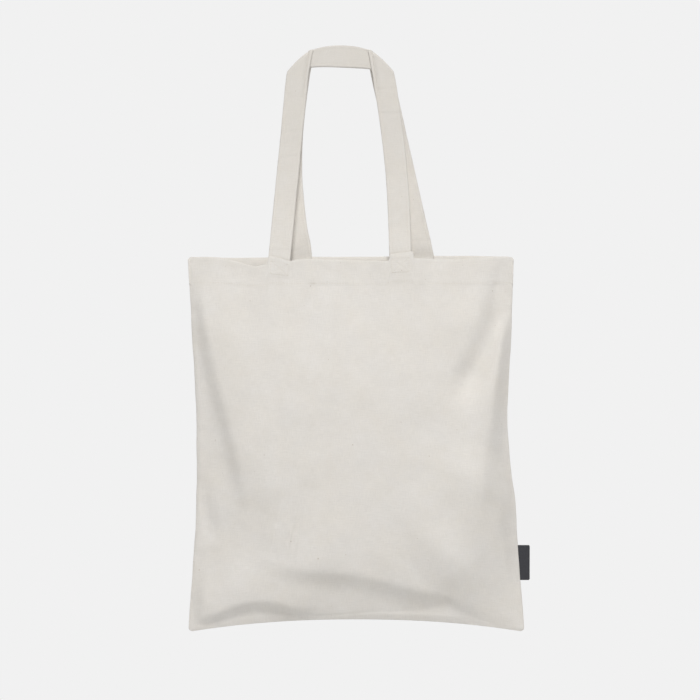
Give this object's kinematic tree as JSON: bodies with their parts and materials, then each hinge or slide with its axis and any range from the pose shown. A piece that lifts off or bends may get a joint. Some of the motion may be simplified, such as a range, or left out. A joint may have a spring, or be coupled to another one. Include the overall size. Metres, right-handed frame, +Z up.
{
  "type": "canvas tote bag",
  "caption": "Flat-seamed cotton tote bag with a wide open mouth, turned hems, long folded strap handles and a small blank side label.",
  "frame": {"origin": "the point under the crowns of the two handles where a hook or a hand carries the bag", "axes": "+Z up the hanging bag, -Y out of the front panel, +X to the right as seen from the front"},
  "size_m": [0.3874, 0.062, 0.664],
  "materials": {
    "cotton_canvas": "unbleached plain-weave cotton canvas, matt",
    "strap_canvas": "the same canvas folded into a strap, matt",
    "sewing_thread": "cotton sewing thread",
    "woven_label": "dense black woven ribbon"
  },
  "bodies": {
    "bag": {"front_panel": "cotton_canvas", "back_panel": "cotton_canvas", "front_hem": "cotton_canvas", "back_hem": "cotton_canvas", "front_hem_stitching": "sewing_thread", "back_hem_stitching": "sewing_thread", "left_side_seam": "cotton_canvas", "right_side_seam": "cotton_canvas", "bottom_seam": "cotton_canvas", "left_overlock_thread": "sewing_thread", "right_overlock_thread": "sewing_thread", "bottom_overlock_thread": "sewing_thread", "front_left_strap_end": "strap_canvas", "front_right_strap_end": "strap_canvas", "back_left_strap_end": "strap_canvas", "back_right_strap_end": "strap_canvas", "front_left_box_stitching": "sewing_thread", "front_right_box_stitching": "sewing_thread", "back_left_box_stitching": "sewing_thread", "back_right_box_stitching": "sewing_thread"},
    "front_handle": {"front_handle_strap": "strap_canvas"},
    "back_handle": {"back_handle_strap": "strap_canvas"},
    "label": {"side_label": "woven_label"}
  },
  "joints": [
    {"name": "front_handle_fold", "type": "hinge", "parent": "bag", "child": "front_handle", "pos_m": [0, -0.01295, -0.2148], "axis": [1, 0, 0], "range_deg": [0, 170]},
    {"name": "back_handle_fold", "type": "hinge", "parent": "bag", "child": "back_handle", "pos_m": [0, 0.01295, -0.2148], "axis": [-1, 0, 0], "range_deg": [0, 170]},
    {"name": "label_fold", "type": "hinge", "parent": "bag", "child": "label", "pos_m": [0.2045, 0, -0.5813], "axis": [-0.0747, 0, 0.9972], "range_deg": [-90, 90]}
  ]
}
